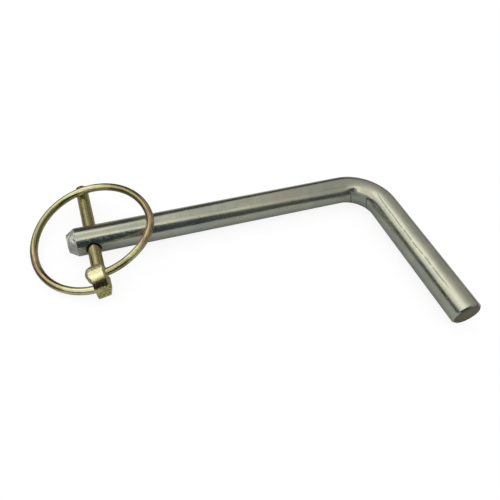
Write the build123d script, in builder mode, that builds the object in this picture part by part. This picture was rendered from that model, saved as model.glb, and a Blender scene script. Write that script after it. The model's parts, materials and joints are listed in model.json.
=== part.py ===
"""Securing pin: a bent round bar, locked by a linch pin with a spring ring.

Frame, in millimetres: the pin lies flat on a surface.  The origin is on the long leg's axis, midway
between the cross hole and the bend.  X runs along the long leg from its chamfered tip to the bend,
the short leg points towards -Y, and Z is up.  Pieces, one STEP each:
  bent_pin     round bar with a chamfered tip, one bend, and a cross hole near the tip
  linch_pin    forged in one piece: a round shank through the cross hole, and a stepped head
  spring_ring  spring wire, with its two ends in blind holes at different heights in the head
"""
from build123d import *
from math import asin, cos, degrees, radians, sin, sqrt
import os

# --- bent pin -------------------------------------------------------------------------------------
bar_diameter = 10.0
hole_to_bend = 96.2          # the cross hole's axis to the start of the bend
hole_to_tip = 8.4            # the cross hole's axis to the tip's end face
tip_taper_length = 3.0
tip_taper_depth = 1.85       # how much the taper takes off the radius
inner_bend_radius = 8.0
leg_angle = 91.5             # between the two legs, in degrees
short_leg_length = 51.4      # the straight part, from the bend to the foot
foot_edge_break = 0.7
cross_hole_edge = 0.25       # break of the hole's rim

# --- linch pin ------------------------------------------------------------------------------------
shank_diameter = 4.5
shank_clearance = 0.35       # radial, in the cross hole
shank_past_ring = 5.9        # centre of the ring's far side to the shank's tip
shank_tip_chamfer = 1.1
shoulder_gap = 8.5           # the bar's surface to the head's shoulder
head_length = 10.9           # from the shoulder to the foot of the end face
crown_height = 2.9           # the shank's axis to the top of the head's rounded face
crown_place = 2.5            # from the shoulder to the top of the rounding
shoulder_fall = 0.5          # how far the rounded face falls away at the shoulder
end_fall = 1.9              # and at the end face
end_face_lean = 1.8          # how far the end face leans back, along the shank
back_height = 2.4            # the shank's axis to the head's flatter back
side_half_width = 2.5       # the shank's axis to the plain part of either side
shoulder_ear = 4.5           # the shank's axis to the ear at the shoulder
shoulder_slant = 1.5         # along the shank, from the shoulder to the ear
shoulder_ear_length = 1.3
ear_slope_length = 2.8       # along the shank, from the shoulder ear to the plain side
end_ear = 3.3                # the shank's axis to the ear at the end, on the other side
end_ear_length = 5.6
ear_bevel = 1.2              # width of the bevel along the shoulder ear
ear_bevel_height = 1.5
side_slant = 1.3             # how far the other side leans in, above and below its middle
head_edge_radius = 0.35
end_wall = 3.3               # centre of the outer wire hole to the foot of the end face
wire_hole_depth = 3.6

# --- spring ring ----------------------------------------------------------------------------------
wire_diameter = 2.7
wire_clearance = 0.06        # radial, in the blind holes
wire_end_gap = 0.4           # from the wire's end to the bottom of its hole
ring_mean_diameter = 42.7
ring_shift = 0.65            # the ring's centre beside the shank's axis
ends_offset = 4.8            # between the two ends, along the shank
left_entry_radius = 4.0      # last bend of the wire before the outer hole
right_start_pull = 9.5       # how long the right side keeps the ring's direction
right_end_pull = 8.0         # and how long it comes straight into the inner hole
seat_clearance = 0.05        # ring over the shank, and ring over the surface below

# --- derived --------------------------------------------------------------------------------------
bar_radius = bar_diameter / 2
shank_radius = shank_diameter / 2
wire_radius = wire_diameter / 2
ring_radius = ring_mean_diameter / 2
bend_radius = inner_bend_radius + bar_radius
shoulder_reach = bar_radius + shoulder_gap
head_end = shoulder_reach + head_length
hinge_reach = head_end - end_wall - ends_offset / 2

# Ring, in its own plane: the origin is midway between the two ends, Y points to the far side.
entry_start = side_half_width + wire_clearance
left_turn = asin((entry_start + ring_shift) / (ring_radius - left_entry_radius))
left_drop = ring_radius * cos(left_turn) + left_entry_radius * (1 - cos(left_turn))
ring_centre = left_drop - ends_offset / 2
far_side = ring_centre + ring_radius
wire_stop = side_half_width - wire_hole_depth + wire_end_gap

# The ring leans until its far side rests on the shank.
lean = asin((shank_radius + wire_radius + seat_clearance) / far_side)


def ring_bottom(angle):
    """Height of the ring's lowest point when the linch pin is turned about its shank."""
    centre_rise = ring_shift * sin(angle) + ring_centre * sin(lean) * cos(angle)
    return centre_rise - ring_radius * sqrt(1 - (cos(angle) * cos(lean)) ** 2) - wire_radius


# The linch pin is turned about its shank until the ring's low side is at the surface.
roll = radians(1)
while ring_bottom(roll) > seat_clearance - bar_radius:
    roll += radians(0.01)

# Linch pin: X along the ring's hinge axis, Y towards the shank's tip, Z through the broad faces.
hole_centre = Vector(-hole_to_bend / 2, 0, 0)
hinge_axis = Vector(cos(roll), 0, sin(roll))
broad_normal = Vector(-sin(roll), 0, cos(roll))
front_plane = Plane(origin=hole_centre, x_dir=hinge_axis, z_dir=broad_normal)
side_plane = Plane(origin=hole_centre, x_dir=(0, 1, 0), z_dir=hinge_axis)
shank_plane = Plane(origin=hole_centre, x_dir=hinge_axis, z_dir=(0, -1, 0))
ring_up = Vector(0, cos(lean), 0) + broad_normal * sin(lean)
hinge_centre = hole_centre - Vector(0, hinge_reach, 0)
ring_plane = Plane(origin=hinge_centre, x_dir=hinge_axis, z_dir=hinge_axis.cross(ring_up))
shank_tip = far_side * cos(lean) - hinge_reach + shank_past_ring


# --- bent_pin: one round bar with one bend ----------------------------------------------------------
with BuildPart() as bent_pin:
    with BuildLine(Plane.XY) as bar_path:
        long_leg = Line((-hole_to_bend / 2 - hole_to_tip, 0), (hole_to_bend / 2, 0))
        bend = JernArc(long_leg @ 1, long_leg % 1, bend_radius, leg_angle - 180)
        Line(bend @ 1, bend @ 1 + (bend % 1) * short_leg_length)
    with BuildSketch(Plane(origin=bar_path.line @ 0, x_dir=(0, 0, -1), z_dir=bar_path.line % 0)):
        Circle(bar_radius)
    sweep()
    tip_face = bent_pin.faces().sort_by(Axis.X)[0]
    chamfer(tip_face.edges(), tip_taper_depth, tip_taper_length, reference=tip_face)
    foot_face = bent_pin.faces().sort_by(Axis.Y)[0]
    chamfer(foot_face.edges(), foot_edge_break)
    outside = bent_pin.edges()
    with BuildSketch(Plane(origin=hole_centre, z_dir=(0, -1, 0))):
        Circle(shank_radius + shank_clearance)
    extrude(amount=bar_diameter, both=True, mode=Mode.SUBTRACT)
    chamfer(bent_pin.edges() - outside, cross_hole_edge)
bent_pin.part.label = "bent_pin"


# --- linch_pin: stepped head, shank, and the blind holes for the ring's ends --------------------------
with BuildPart() as linch_pin:
    with BuildSketch(front_plane):
        with BuildLine():
            ear_start = -shoulder_reach - shoulder_slant
            ear_foot = ear_start - shoulder_ear_length
            step = -head_end + end_ear_length
            Polyline(
                (side_half_width, -shoulder_reach),
                (-side_half_width, -shoulder_reach),
                (-shoulder_ear, ear_start),
                (-shoulder_ear, ear_foot),
                (-side_half_width, ear_foot - ear_slope_length),
                (-side_half_width, -head_end),
                (end_ear, -head_end),
                (end_ear, step),
                (side_half_width, step + end_ear - side_half_width),
                close=True,
            )
        make_face()
    extrude(amount=crown_height, both=True)
    with BuildSketch(side_plane):
        with BuildLine():
            face = ThreePointArc(
                (-shoulder_reach, crown_height - shoulder_fall),
                (-shoulder_reach - crown_place, crown_height),
                (-head_end + end_face_lean, crown_height - end_fall),
            )
            Polyline(face @ 1, (-head_end, -back_height), (-shoulder_reach, -back_height), face @ 0)
        make_face()
    extrude(amount=head_length, both=True, mode=Mode.INTERSECT)
    with BuildSketch(shank_plane):
        with BuildLine():
            Polyline(
                (-shoulder_ear, -back_height),
                (-shoulder_ear, crown_height - ear_bevel_height),
                (ear_bevel - shoulder_ear, crown_height),
                (end_ear - side_slant, crown_height),
                (end_ear, 0),
                (end_ear - side_slant, -back_height),
                close=True,
            )
        make_face()
    extrude(amount=head_end, mode=Mode.INTERSECT)
    fillet(linch_pin.edges(), head_edge_radius)
    with BuildSketch(shank_plane.offset(-shank_tip)):
        Circle(shank_radius)
    extrude(amount=shank_tip + shoulder_reach + shoulder_ear_length)
    tip_rim = linch_pin.faces().sort_by(Axis.Y)[-1].edges()
    chamfer(tip_rim, shank_tip_chamfer)
    left_mouth = hinge_centre - ring_up * (ends_offset / 2) - hinge_axis * side_half_width
    right_mouth = hinge_centre + ring_up * (ends_offset / 2) + hinge_axis * side_half_width
    with BuildSketch(Plane(origin=left_mouth, z_dir=hinge_axis)):
        Circle(wire_radius + wire_clearance)
    extrude(amount=wire_hole_depth, mode=Mode.SUBTRACT)
    with BuildSketch(Plane(origin=right_mouth, z_dir=-hinge_axis)):
        Circle(wire_radius + wire_clearance)
    extrude(amount=wire_hole_depth, mode=Mode.SUBTRACT)
linch_pin.part.label = "linch_pin"


# --- spring_ring: from the right end round to the left end --------------------------------------------
with BuildPart() as spring_ring:
    with BuildLine(ring_plane) as wire_path:
        right_side = (ring_shift + ring_radius, ring_centre)
        right_entry = (entry_start, ends_offset / 2)
        Line((wire_stop, ends_offset / 2), right_entry)
        Bezier(
            right_entry,
            (entry_start + right_end_pull, ends_offset / 2),
            (ring_shift + ring_radius, ring_centre - right_start_pull),
            right_side,
        )
        round_part = CenterArc((ring_shift, ring_centre), ring_radius, 0, 270 - degrees(left_turn))
        left_entry = JernArc(round_part @ 1, round_part % 1, left_entry_radius, degrees(left_turn))
        Line(left_entry @ 1, (-wire_stop, -ends_offset / 2))
    with BuildSketch(Plane(origin=wire_path.line @ 0, z_dir=wire_path.line % 0)):
        Circle(wire_radius)
    sweep()
spring_ring.part.label = "spring_ring"


os.makedirs("parts", exist_ok=True)
export_step(bent_pin.part, "parts/bent_pin.step")
export_step(linch_pin.part, "parts/linch_pin.step")
export_step(spring_ring.part, "parts/spring_ring.step")
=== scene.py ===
import json
import math
import bpy
import bmesh
from mathutils import Matrix, Vector


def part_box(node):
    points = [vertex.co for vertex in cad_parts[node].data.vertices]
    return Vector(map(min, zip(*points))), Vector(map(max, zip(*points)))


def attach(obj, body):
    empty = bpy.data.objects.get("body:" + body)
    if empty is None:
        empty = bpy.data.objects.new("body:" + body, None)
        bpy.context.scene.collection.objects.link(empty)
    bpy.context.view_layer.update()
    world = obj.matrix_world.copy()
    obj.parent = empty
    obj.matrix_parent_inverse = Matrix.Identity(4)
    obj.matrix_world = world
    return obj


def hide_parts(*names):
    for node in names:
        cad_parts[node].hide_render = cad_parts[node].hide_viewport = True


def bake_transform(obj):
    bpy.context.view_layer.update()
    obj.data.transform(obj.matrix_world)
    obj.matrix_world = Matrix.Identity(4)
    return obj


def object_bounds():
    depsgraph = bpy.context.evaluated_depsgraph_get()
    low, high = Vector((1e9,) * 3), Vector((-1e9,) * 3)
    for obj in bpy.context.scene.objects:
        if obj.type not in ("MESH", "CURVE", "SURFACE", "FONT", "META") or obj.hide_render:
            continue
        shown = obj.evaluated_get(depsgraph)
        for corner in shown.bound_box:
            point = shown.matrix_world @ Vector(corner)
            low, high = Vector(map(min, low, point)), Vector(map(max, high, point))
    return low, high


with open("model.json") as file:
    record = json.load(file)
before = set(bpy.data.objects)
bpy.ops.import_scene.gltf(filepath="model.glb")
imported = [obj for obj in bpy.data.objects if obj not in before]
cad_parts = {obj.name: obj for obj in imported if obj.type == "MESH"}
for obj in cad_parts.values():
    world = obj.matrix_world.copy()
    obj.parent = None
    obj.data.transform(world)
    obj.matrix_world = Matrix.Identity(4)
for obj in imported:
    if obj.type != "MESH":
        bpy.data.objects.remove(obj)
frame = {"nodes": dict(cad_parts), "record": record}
cad_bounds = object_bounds()
scene = bpy.context.scene

# ---------------------------------------------------------------- sizes of the solids, in metres
wire_radius = 0.00135
shoulder_gap = 0.0085        # the bar's surface to the head's shoulder
tip_taper_length = 0.003
inner_bend_radius = 0.008
foot_rim_drop = 0.0001       # the foot's rim reaches this much lower than its middle

# ---------------------------------------------------------------- places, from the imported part
joints = {joint["name"]: joint for joint in frame["record"]["behaviour"]["joints"]}
mounts = {mount["name"]: mount for mount in frame["record"]["mounts"]}
upwards = Vector((0, 0, 1))
shank_axis = Vector((0, 1, 0))
hinge_at = Vector(joints["ring_hinge"]["pos_m"])
hinge_axis = Vector(joints["ring_hinge"]["axis"]).normalized()
broad_normal = hinge_axis.cross(shank_axis).normalized()
bar_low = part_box("bent_pin")[0]
pin_low, pin_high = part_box("linch_pin")
ring_low, ring_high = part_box("spring_ring")
bar_radius = mounts["short_leg"]["dims"]["r_mm"] / 1000
taper_end = bar_low.x + tip_taper_length
head_start = -bar_radius - shoulder_gap

# The short leg: a point on its axis, its way to the foot, and the way across it to the inside.
leg_at = Vector(mounts["short_leg"]["pos_m"])
leg_way = Vector(mounts["short_leg"]["axis"]).normalized()
leg_across = leg_way.cross(upwards)
foot = (leg_at.y - bar_low.y) / -leg_way.y - foot_rim_drop
bend_radius = inner_bend_radius + bar_radius
bend_at = Vector((0, -bend_radius, 0))
bend_at.x = leg_at.x + (bend_radius - (bend_at.y - leg_at.y) * leg_across.y) / leg_across.x

# The ring: its centre, its way to the far side, its normal and its radius.
ring_at = (ring_low + ring_high) / 2
ring_way = (ring_at - hinge_at).normalized()
ring_normal = hinge_axis.cross(ring_way).normalized()
ring_radius = ((ring_high.x - ring_low.x) / 2 - wire_radius) / hinge_axis.x


# ---------------------------------------------------------------- node helpers
class Tree:
    """A material's or world's node tree, built from the inside out."""

    def __init__(self, owner):
        owner.use_nodes = True
        self.tree = owner.node_tree
        self.tree.nodes.clear()

    def new(self, kind):
        return self.tree.nodes.new("ShaderNode" + kind)

    def plug(self, made, socket, value):
        if value is None:
            return
        if isinstance(value, bpy.types.NodeSocket):
            self.tree.links.new(value, made.inputs[socket])
        else:
            made.inputs[socket].default_value = value

    def node(self, kind, *values, out=0, **settings):
        made = self.new(kind)
        for key, value in settings.items():
            setattr(made, key, value)
        for socket, value in enumerate(values):
            self.plug(made, socket, value)
        return made.outputs[out]

    def show(self, kind, shader):
        """Plugs the finished shader into the tree's output."""
        self.plug(self.new(kind), 0, shader)

    def rays(self):
        """Whether a ray comes from the camera, and whether it comes off something glossy."""
        path = self.new("LightPath")
        return path.outputs[0], path.outputs[3]

    def axes(self, vector):
        split = self.new("SeparateXYZ")
        self.plug(split, 0, vector)
        return split.outputs

    # numbers
    def math(self, operation, a, b=None, clamp=False):
        return self.node("Math", a, b, operation=operation, use_clamp=clamp)

    def times(self, first, *factors, clamp=False):
        for factor in factors:
            first = self.math("MULTIPLY", first, factor, clamp)
        return first

    def plus(self, a, b, clamp=False):
        return self.math("ADD", a, b, clamp)

    def minus(self, a, b):
        return self.math("SUBTRACT", a, b)

    def most(self, a, b):
        return self.math("MAXIMUM", a, b)

    def size(self, value):
        return self.math("ABSOLUTE", value)

    def angle(self, a, b):
        return self.math("ARCTAN2", a, b)

    def length(self, a, b):
        return self.math("POWER", self.plus(self.times(a, a), self.times(b, b)), 0.5)

    def span(self, value, low, high, to_low=0.0, to_high=1.0, smooth=True):
        """Goes from to_low to to_high while a value goes from low to high."""
        made = self.new("MapRange")
        made.interpolation_type = "SMOOTHSTEP" if smooth else "LINEAR"
        for socket, item in enumerate((value, low, high, to_low, to_high)):
            self.plug(made, socket, item)
        return made.outputs[0]

    def between(self, value, low, high, soft):
        """One between two values, nought outside them."""
        return self.times(self.span(value, low - soft, low), self.span(value, high + soft, high))

    def mix_numbers(self, factor, a, b):
        made = self.new("Mix")
        made.data_type = "FLOAT"
        for socket, item in ((0, factor), (2, a), (3, b)):
            self.plug(made, socket, item)
        return made.outputs[0]

    # colours, places and relief
    def mix(self, factor, a, b):
        made = self.new("Mix")
        made.data_type = "RGBA"
        for socket, item in ((0, factor), (6, a), (7, b)):
            self.plug(made, socket, item)
        return made.outputs[2]

    def noise(self, vector, scale, detail=3.0, roughness=0.55, distortion=0.0):
        made = self.new("TexNoise")
        self.plug(made, 0, vector)
        made.inputs["Scale"].default_value = scale
        made.inputs["Detail"].default_value = detail
        made.inputs["Roughness"].default_value = roughness
        made.inputs["Distortion"].default_value = distortion
        return made.outputs[0]

    def stretch(self, vector, *factors):
        return self.node("VectorMath", vector, factors, operation="MULTIPLY")

    def dot(self, vector, way, at=(0, 0, 0)):
        """How far a place lies from another, along a direction."""
        moved = self.node("VectorMath", vector, tuple(at), operation="SUBTRACT")
        return self.node("VectorMath", moved, tuple(way), out=1, operation="DOT_PRODUCT")

    def bump(self, height, strength, distance, normal=None):
        made = self.new("Bump")
        made.inputs["Strength"].default_value = strength
        made.inputs["Distance"].default_value = distance
        self.plug(made, "Height", height)
        self.plug(made, "Normal", normal)
        return made.outputs[0]


def metal(name):
    """A material with a metallic shader, its tree, its shader and the object's coordinates."""
    made = bpy.data.materials.new(name)
    tree = Tree(made)
    shader = tree.new("BsdfPrincipled")
    shader.inputs["Metallic"].default_value = 1.0
    tree.show("OutputMaterial", shader.outputs[0])
    return made, tree, shader, tree.node("TexCoord", out=3)


# ---------------------------------------------------------------- bright zinc on the drawn bar
def tool_mark(t, x, y, z):
    """The mark that the bending tool pressed into the inside of the bend, and the mark's edges."""
    start, stop = 0.35, 1.12     # radians round the bend
    slant = 44.0                 # radians per metre of height
    east = t.minus(x, bend_at.x)
    north = t.minus(y, bend_at.y)
    turn = t.plus(t.angle(east, north), t.times(z, slant))
    near = t.length(east, north)
    inner = t.times(t.span(near, bend_radius, bend_radius - 0.001), t.span(z, 0.0031, 0.0026))
    pressed = t.times(t.between(turn, start, stop, 0.02), inner)
    edge_at_start = t.between(turn, start - 0.02, start, 0.02)
    edge_at_stop = t.between(turn, stop - 0.01, stop + 0.01, 0.02)
    return pressed, t.times(t.plus(edge_at_start, edge_at_stop), inner)


def long_scratch(t, place, z, along, inside):
    """A long scratch on the short leg, slightly bowed."""
    bow = t.math("POWER", t.size(t.times(along, 42.0)), 2.0)
    wander = t.times(t.minus(t.noise(place, 140.0, 1.0), 0.5), 0.0003)
    line_at = t.plus(t.minus(0.00285, t.times(bow, 0.0002)), wander)
    off_line = t.size(t.minus(inside, line_at))
    on_top = t.span(z, 0.0, 0.001)
    on_leg = t.times(on_top, t.between(along, -0.026, foot - 0.013, 0.006))
    broken = t.span(t.noise(place, 700.0, 2.0), 0.35, 0.5)
    return t.times(t.span(off_line, 0.00018, 0.00005), on_leg, broken)


def bright_zinc():
    made, t, shader, place = metal("bright_zinc")
    x, y, z = t.axes(place)
    along = t.dot(place, leg_way, leg_at)
    inside = t.dot(place, leg_across, leg_at)
    on_short = t.span(y, -0.5 * bend_radius, -bend_radius)
    grain = t.noise(place, 2600.0, 3.0, 0.6)
    cloud = t.noise(place, 130.0, 4.0, 0.6)
    drawn = t.mix_numbers(
        on_short,
        t.noise(t.stretch(place, 0.05, 1.0, 1.0), 1000.0, 4.0, 0.65),
        t.noise(t.stretch(place, 1.0, 0.05, 1.0), 1000.0, 4.0, 0.65),
    )
    pressed, edges = tool_mark(t, x, y, z)
    scratch = long_scratch(t, place, z, along, inside)

    # the sawn foot, the hammered taper with its rim, and the worn stretch below it
    cut = t.span(along, foot - 0.00035, foot - 0.0002)
    taper = t.span(x, taper_end + 0.0001, taper_end)
    rim = t.between(x, taper_end - 0.00015, taper_end + 0.00005, 0.0002)
    worn = t.times(t.span(x, taper_end + 0.006, taper_end), t.span(z, 0.0015, -0.001))
    worn = t.times(worn, t.span(t.noise(place, 800.0, 3.0), 0.4, 0.6))

    tint = t.mix(t.span(cloud, 0.35, 0.65), (0.57, 0.60, 0.54, 1), (0.68, 0.69, 0.60, 1))
    tint = t.mix(t.span(t.noise(place, 60.0, 2.0), 0.5, 0.7), tint, (0.62, 0.62, 0.53, 1))
    tint = t.mix(t.times(t.span(drawn, 0.56, 0.72), 0.35), tint, (0.40, 0.40, 0.36, 1))
    tint = t.mix(pressed, tint, (0.56, 0.61, 0.54, 1))
    tint = t.mix(t.times(edges, 0.8), tint, (0.10, 0.10, 0.09, 1))
    tint = t.mix(t.times(scratch, 0.5), tint, (0.20, 0.20, 0.15, 1))
    tint = t.mix(cut, tint, (0.25, 0.225, 0.18, 1))
    tint = t.mix(taper, tint, (0.80, 0.81, 0.82, 1))
    tint = t.mix(t.most(rim, t.times(worn, 0.7)), tint, (0.86, 0.88, 0.88, 1))
    t.plug(shader, "Base Color", tint)

    rough = t.span(t.plus(drawn, t.times(cloud, 0.5)), 0.5, 1.0, 0.10, 0.22, smooth=False)
    rough = t.mix_numbers(on_short, rough, t.plus(rough, 0.05))
    rough = t.mix_numbers(pressed, rough, 0.45)
    rough = t.mix_numbers(cut, rough, 0.5)
    rough = t.mix_numbers(t.most(taper, t.times(worn, 0.8)), rough, 0.42)
    t.plug(shader, "Roughness", rough)

    normal = t.bump(drawn, 0.35, 0.00005)
    normal = t.bump(grain, 0.4, 0.00005, normal)
    pits = t.span(t.noise(place, 2600.0, 2.0, 0.6), 0.62, 0.72)
    normal = t.bump(pits, 0.3, 0.00004, normal)
    dulled = t.times(t.most(taper, worn), t.noise(place, 900.0, 2.0, 0.5))
    normal = t.bump(dulled, 0.8, 0.0005, normal)
    normal = t.bump(t.plus(edges, scratch), 0.5, 0.0001, normal)
    t.plug(shader, "Normal", normal)
    return made


# ---------------------------------------------------------------- yellow passivated zinc
def yellow_zinc(name, lay_out):
    """Gold with green and pink films, painted pale highlights, and dark marks that are partly
    streaks and partly painted reflection and shade, which lay_out places on the piece.
    """
    made, t, shader, place = metal(name)
    lines, dark, green, pink, pale, painted_highlight_tint = lay_out(t, place)
    patch = t.noise(place, 420.0, 3.0, 0.5)
    grain = t.noise(place, 3000.0, 3.0, 0.6)
    tint = t.mix(green, (0.56, 0.50, 0.28, 1), (0.72, 0.75, 0.42, 1))
    tint = t.mix(pink, tint, (0.64, 0.46, 0.33, 1))
    # painted highlight: the pale zones get a lighter tint
    tint = t.mix(pale, tint, painted_highlight_tint)
    tint = t.mix(t.times(t.span(patch, 0.5, 0.8), 0.4), tint, (0.38, 0.32, 0.14, 1))
    # dark marks: streaks, with painted dark reflection bands and painted shade
    tint = t.mix(dark, tint, (0.13, 0.105, 0.045, 1))
    t.plug(shader, "Base Color", tint)
    return made, t, shader, place, lines, patch, grain


def painted_reflection_band(t, round_piece, at, half):
    """One on a thin line along the piece, at an angle round it, where a dark reflection band is
    painted.
    """
    return t.span(t.size(t.minus(round_piece, at)), half, half * 0.4)


def head_slope(t, y, across):
    """The way along the head, slightly askew, that its crown falls away and that its painted
    highlight and painted dark reflection follow.
    """
    return t.minus(y, t.times(across, 0.12))


def on_forging(t, place):
    """Dark lines along the shank, partly painted reflection bands, painted shade at its tip, and a
    painted dark reflection between painted highlights on the head's crown and end face.
    """
    lines = t.noise(t.stretch(place, 1.0, 0.03, 1.0), 1500.0, 3.0, 0.6)
    y = t.dot(place, shank_axis)
    across = t.dot(place, hinge_axis, hinge_at)
    slope = head_slope(t, y, across)
    low = pin_low.y

    # the shank: fine lines, two broad painted dark reflection bands along it, and painted shade at
    # its tip
    off_head = t.span(y, head_start - 0.0005, head_start + 0.0005)
    round_shank = t.angle(t.dot(place, broad_normal, hinge_at), across)
    dark = t.times(t.span(lines, 0.54, 0.66), 0.5)
    dark = t.most(dark, t.times(painted_reflection_band(t, round_shank, 1.70, 0.13), 0.75))
    dark = t.most(dark, t.times(painted_reflection_band(t, round_shank, 1.00, 0.20), 0.8))
    dark = t.times(t.most(dark, 0.18), t.times(off_head, 0.75))
    # painted shade on the shank's tip
    painted_tip_shade = t.span(y, pin_high.y - 0.0044, pin_high.y - 0.0032, 0.0, 0.7)

    # the head: painted highlights on the crown and the end face, and a painted dark reflection
    # between them
    painted_dark_reflection = t.span(slope, low + 0.0048, low + 0.0032)
    painted_dark_reflection = t.times(painted_dark_reflection, t.span(y, low + 0.0017, low + 0.0021))
    painted_dark_reflection = t.times(painted_dark_reflection, t.span(across, 0.0027, 0.0021))
    dark = t.most(t.most(dark, t.times(painted_dark_reflection, 0.95)), painted_tip_shade)
    # painted highlight on the crown
    crown = t.span(slope, low + 0.0038, low + 0.0056)
    crown = t.times(crown, t.span(y, head_start - 0.0006, head_start - 0.0018))
    crown = t.times(crown, t.span(across, -0.0034, -0.0026))
    # painted highlight on the end face, in a gold tint
    painted_end_face_highlight = t.span(y, low + 0.0019, low + 0.0015, 0.0, 0.9)

    green = t.span(t.noise(place, 170.0, 2.0), 0.45, 0.65, 0.0, 0.3)
    pink = t.span(t.noise(place, 240.0, 2.0, 0.5, 0.4), 0.56, 0.70, 0.0, 0.4)
    painted_highlight_tint = t.mix(painted_end_face_highlight, (0.97, 0.94, 0.62, 1), (0.98, 0.88, 0.36, 1))
    return lines, dark, green, pink, t.most(crown, painted_end_face_highlight), painted_highlight_tint


def on_wire(t, place):
    """Films and a painted highlight that change with the angle round the ring, and dark lines along
    its wire, partly painted reflection bands.
    """
    over = t.dot(place, hinge_axis, ring_at)
    out = t.dot(place, ring_way, ring_at)
    rise = t.dot(place, ring_normal, ring_at)
    off_centre = t.length(over, out)
    angle = t.angle(over, t.times(out, -1.0))

    # the films and the painted highlight, by the angle from the hinge, which wanders a little
    turn = t.plus(angle, t.times(t.minus(t.noise(place, 200.0, 2.0), 0.5), 0.5))
    far = t.size(turn)
    green = t.plus(t.between(turn, -0.70, -0.1, 0.2), t.between(turn, 0.65, 0.95, 0.15))
    green = t.plus(green, t.between(far, 2.8, 4.5, 0.2))
    green = t.plus(green, t.times(t.between(turn, -2.4, -2.0, 0.4), 0.35), clamp=True)
    pink = t.plus(t.between(turn, -1.55, -0.9, 0.2), t.between(turn, 0.95, 1.7, 0.2))
    pink = t.times(pink, 0.75, clamp=True)
    # painted highlight: pale zones along the wire
    pale = t.most(t.between(turn, -0.6, -0.1, 0.15), t.between(far, 2.95, 4.5, 0.12))
    pale = t.times(pale, 0.8)

    # dark lines: noise streaks, and painted dark reflection bands given by the angle round the wire
    # from its outer side, half the line's width in radians, and the stretch of ring that it runs
    # over
    round_wire = t.angle(rise, t.minus(off_centre, ring_radius))
    unrolled = t.node("CombineXYZ", off_centre, rise, t.times(angle, 0.0006))
    lines = t.noise(unrolled, 2600.0, 3.0, 0.6)
    dark = t.times(t.span(lines, 0.50, 0.60), t.minus(0.65, t.times(pale, 0.5)))
    for at, half, start, stop in (
        (2.60, 0.30, -3.00, -1.80),
        (0.70, 0.30, -1.35, -0.70),
        (1.85, 0.24, -1.35, -0.60),
        (1.35, 0.22, 1.75, 2.65),
        (2.45, 0.30, 1.75, 2.55),
    ):
        line = t.times(painted_reflection_band(t, round_wire, at, half), t.between(turn, start, stop, 0.2))
        dark = t.most(dark, t.times(line, 0.8))
    return lines, dark, green, pink, pale, (0.95, 0.92, 0.60, 1)


def yellow_zinc_wire():
    made, t, shader, _, lines, patch, grain = yellow_zinc("yellow_zinc_wire", on_wire)
    t.plug(shader, "Roughness", t.span(patch, 0.3, 0.7, 0.16, 0.26))
    normal = t.bump(lines, 0.5, 0.00010)
    t.plug(shader, "Normal", t.bump(grain, 0.25, 0.00003, normal))
    return made


def yellow_zinc_forged():
    made, t, shader, place, lines, patch, grain = yellow_zinc("yellow_zinc", on_forging)
    y = t.axes(place)[1]
    on_head = t.span(y, head_start + 0.0002, head_start - 0.0002)
    rough = t.span(patch, 0.3, 0.7, 0.22, 0.34)
    t.plug(shader, "Roughness", t.mix_numbers(on_head, rough, 0.26))

    # fine relief all over; the head is also rounded towards its end, and marked by hammer blows
    normal = t.bump(lines, 0.35, 0.00006)
    normal = t.bump(grain, 0.25, 0.00003, normal)
    slope = head_slope(t, y, t.dot(place, hinge_axis, hinge_at))
    fall = t.span(slope, pin_low.y + 0.0008, pin_low.y + 0.0054)
    normal = t.bump(t.times(fall, on_head), 1.0, 0.0018, normal)
    blows = t.times(t.noise(place, 1500.0, 2.0, 0.6), on_head)
    normal = t.bump(blows, 0.9, 0.00016, normal)
    t.plug(shader, "Normal", normal)
    return made


def paint(thing, material):
    thing.data.materials.clear()
    thing.data.materials.append(material)
    for face in thing.data.polygons:
        face.material_index = 0


paint(frame["nodes"]["bent_pin"], bright_zinc())
paint(frame["nodes"]["linch_pin"], yellow_zinc_forged())

# ---------------------------------------------------------------- ring, its ends in their holes
wire_zinc = yellow_zinc_wire()


def cut_mesh(work, at, normal, **settings):
    everything = work.verts[:] + work.edges[:] + work.faces[:]
    bmesh.ops.bisect_plane(work, geom=everything, plane_co=at, plane_no=normal, **settings)


def ring_piece(name, cuts, sections=()):
    """A copy of the ring's solid, cut back to the side of each plane that its normal points to.

    Sections are places where the wire gets a cross-section across the hinge axis.
    """
    mesh = frame["nodes"]["spring_ring"].data.copy()
    made = bpy.data.objects.new(name, mesh)
    scene.collection.objects.link(made)
    work = bmesh.new()
    work.from_mesh(mesh)
    for at, normal in cuts:
        cut_mesh(work, at, normal, clear_inner=True, dist=1e-7)
    for at in sections:
        cut_mesh(work, at, hinge_axis, dist=2e-5)
    bmesh.ops.remove_doubles(work, verts=work.verts[:], dist=1e-7)
    open_edges = [edge for edge in work.edges if edge.is_boundary]
    for edge in open_edges:
        edge.smooth = False
    bmesh.ops.holes_fill(work, edges=open_edges)
    work.to_mesh(mesh)
    work.free()
    paint(made, wire_zinc)
    mesh.shade_smooth()
    return made


# The loop is cut off past the hinge. Each end runs along the hinge axis, outwards from its hole,
# and follows the loop before it reaches the cut.
far_cut = hinge_at + shank_axis * 0.010
first_section = 0.003
section_gap = 0.0005
outwards = [hinge_axis * (first_section + section_gap * step) for step in range(27)]

left_cuts = [(far_cut, -shank_axis), (hinge_at, -hinge_axis)]
right_cuts = [(far_cut, -shank_axis), (hinge_at, hinge_axis)]
loop = ring_piece("ring_loop", [(far_cut, shank_axis)])
left = ring_piece("ring_left_end", left_cuts, [hinge_at - way for way in outwards])
right = ring_piece("ring_right_end", right_cuts, [hinge_at + way for way in outwards])
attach(loop, "spring_ring")
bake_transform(left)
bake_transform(right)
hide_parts("spring_ring")


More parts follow.
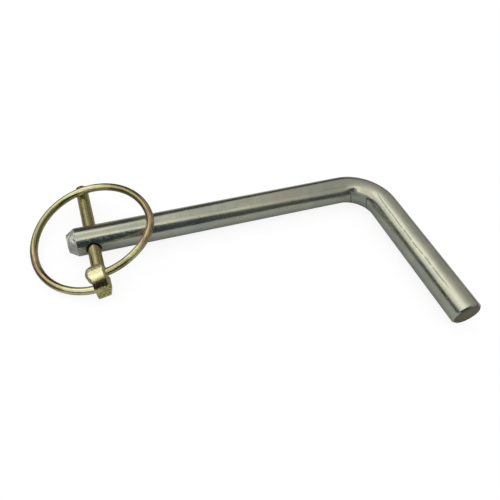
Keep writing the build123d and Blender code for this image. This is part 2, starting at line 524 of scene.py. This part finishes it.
# ---------------------------------------------------------------- floor
def white_paper():
    """The camera sees white. What the metal sees of the floor is a painted pool of light round the
    part, darker away from it.
    """
    made = bpy.data.materials.new("floor")
    t = Tree(made)
    to_camera, to_gloss = t.rays()
    away = t.node("VectorMath", t.node("TexCoord", out=3), out=1, operation="LENGTH")
    # painted pool of light on the floor, seen only in reflections
    seen = t.mix(t.span(away, 0.11, 0.24), (0.40, 0.41, 0.39, 1), (0.07, 0.07, 0.065, 1))
    paper = t.node("BsdfDiffuse", t.mix(to_camera, seen, (0.16, 0.16, 0.16, 1)))
    lift = t.plus(t.times(to_camera, 0.87), t.times(to_gloss, 0.02))
    glow = t.node("Emission", (1, 1, 1, 1), lift)
    t.show("OutputMaterial", t.node("AddShader", paper, glow))
    return made


half_floor = 3.0
corners = [(-1, -1), (1, -1), (1, 1), (-1, 1)]
floor_mesh = bpy.data.meshes.new("floor")
floor_mesh.from_pydata(
    [(half_floor * x, half_floor * y, bar_low.z) for x, y in corners], [], [(0, 1, 2, 3)]
)
floor_mesh.materials.append(white_paper())
floor = bpy.data.objects.new("floor", floor_mesh)
scene.collection.objects.link(floor)


# ---------------------------------------------------------------- world
def studio():
    """What the metal sees: a soft overhead sheet and dark sides.

    The sheet is brighter to the left and along its front edge. The camera sees white instead, and
    the floor gets plain pale light.
    """
    made = bpy.data.worlds.new("studio")
    t = Tree(made)
    right, back, up = t.axes(t.node("TexCoord", out=0))
    aside = t.most(t.times(right, 0.73), t.times(right, -1.2))
    front_edge = t.plus(t.plus(back, aside), 0.48)
    near_edge = t.times(t.span(front_edge, 0.0, 0.06), t.span(front_edge, 0.35, 0.20))
    near_edge = t.times(near_edge, t.span(right, 0.55, 0.10))
    sheet = t.plus(t.span(right, -0.3, 0.55, 0.85, 0.33, smooth=False), t.times(near_edge, 0.4))
    bright = t.node("VectorMath", (1.0, 0.98, 0.86), sheet, operation="MULTIPLY")

    rise = t.plus(up, t.times(t.size(right), 0.9))
    covered = t.times(t.span(rise, 0.74, 0.85), t.span(front_edge, -0.03, 0.05))
    covered = t.times(covered, t.most(t.span(up, 0.30, 0.46), t.span(right, -0.2, 0.0)))
    covered = t.times(covered, t.span(up, 0.0, 0.22))
    dark = t.mix(t.span(right, 0.0, 0.35), (0.018, 0.034, 0.048, 1), (0.075, 0.08, 0.07, 1))
    dark = t.mix(t.span(back, 0.2, -0.2), (0.06, 0.065, 0.055, 1), dark)

    to_camera, to_gloss = t.rays()
    seen = t.mix(to_gloss, (0.9, 0.9, 0.9, 1), t.mix(covered, dark, bright))
    seen = t.mix(to_camera, seen, (1, 1, 1, 1))
    t.show("OutputWorld", t.node("Background", seen, 1.0))
    return made


scene.world = studio()

# ---------------------------------------------------------------- lamp
middle = (cad_bounds[0] + cad_bounds[1]) / 2
lamp_data = bpy.data.lights.new("soft_box", "AREA")
lamp_data.shape = "RECTANGLE"
lamp_data.size = 0.8
lamp_data.size_y = 0.6
lamp_data.energy = 0.5
lamp_data.color = (1.0, 0.98, 0.9)
lamp = bpy.data.objects.new("soft_box", lamp_data)
scene.collection.objects.link(lamp)
lamp.location = middle + Vector((-0.35, 0.45, 0.95))
lamp.rotation_euler = (middle - lamp.location).to_track_quat("-Z", "Y").to_euler()

# ---------------------------------------------------------------- camera, at the photograph's angle
camera_at = Vector((-0.04588, -0.11767, 0.12839))
tilt = math.radians(37.33)       # from straight down
heading = math.radians(-19.38)   # round the vertical
roll = math.radians(3.01)        # round the line of sight
focal_share = 0.96               # focal length, as a share of the sensor's width

camera_data = bpy.data.cameras.new("camera")
camera_data.sensor_width = 36.0
camera_data.lens = camera_data.sensor_width * focal_share
camera_data.shift_x = 0.0854
camera_data.shift_y = 0.0467
camera_data.clip_start = 0.01
camera = bpy.data.objects.new("camera", camera_data)
scene.collection.objects.link(camera)
camera.matrix_world = (
    Matrix.Translation(camera_at)
    @ Matrix.Rotation(heading, 4, "Z")
    @ Matrix.Rotation(tilt, 4, "X")
    @ Matrix.Rotation(roll, 4, "Z")
)
scene.camera = camera
scene.view_settings.view_transform = "Standard"
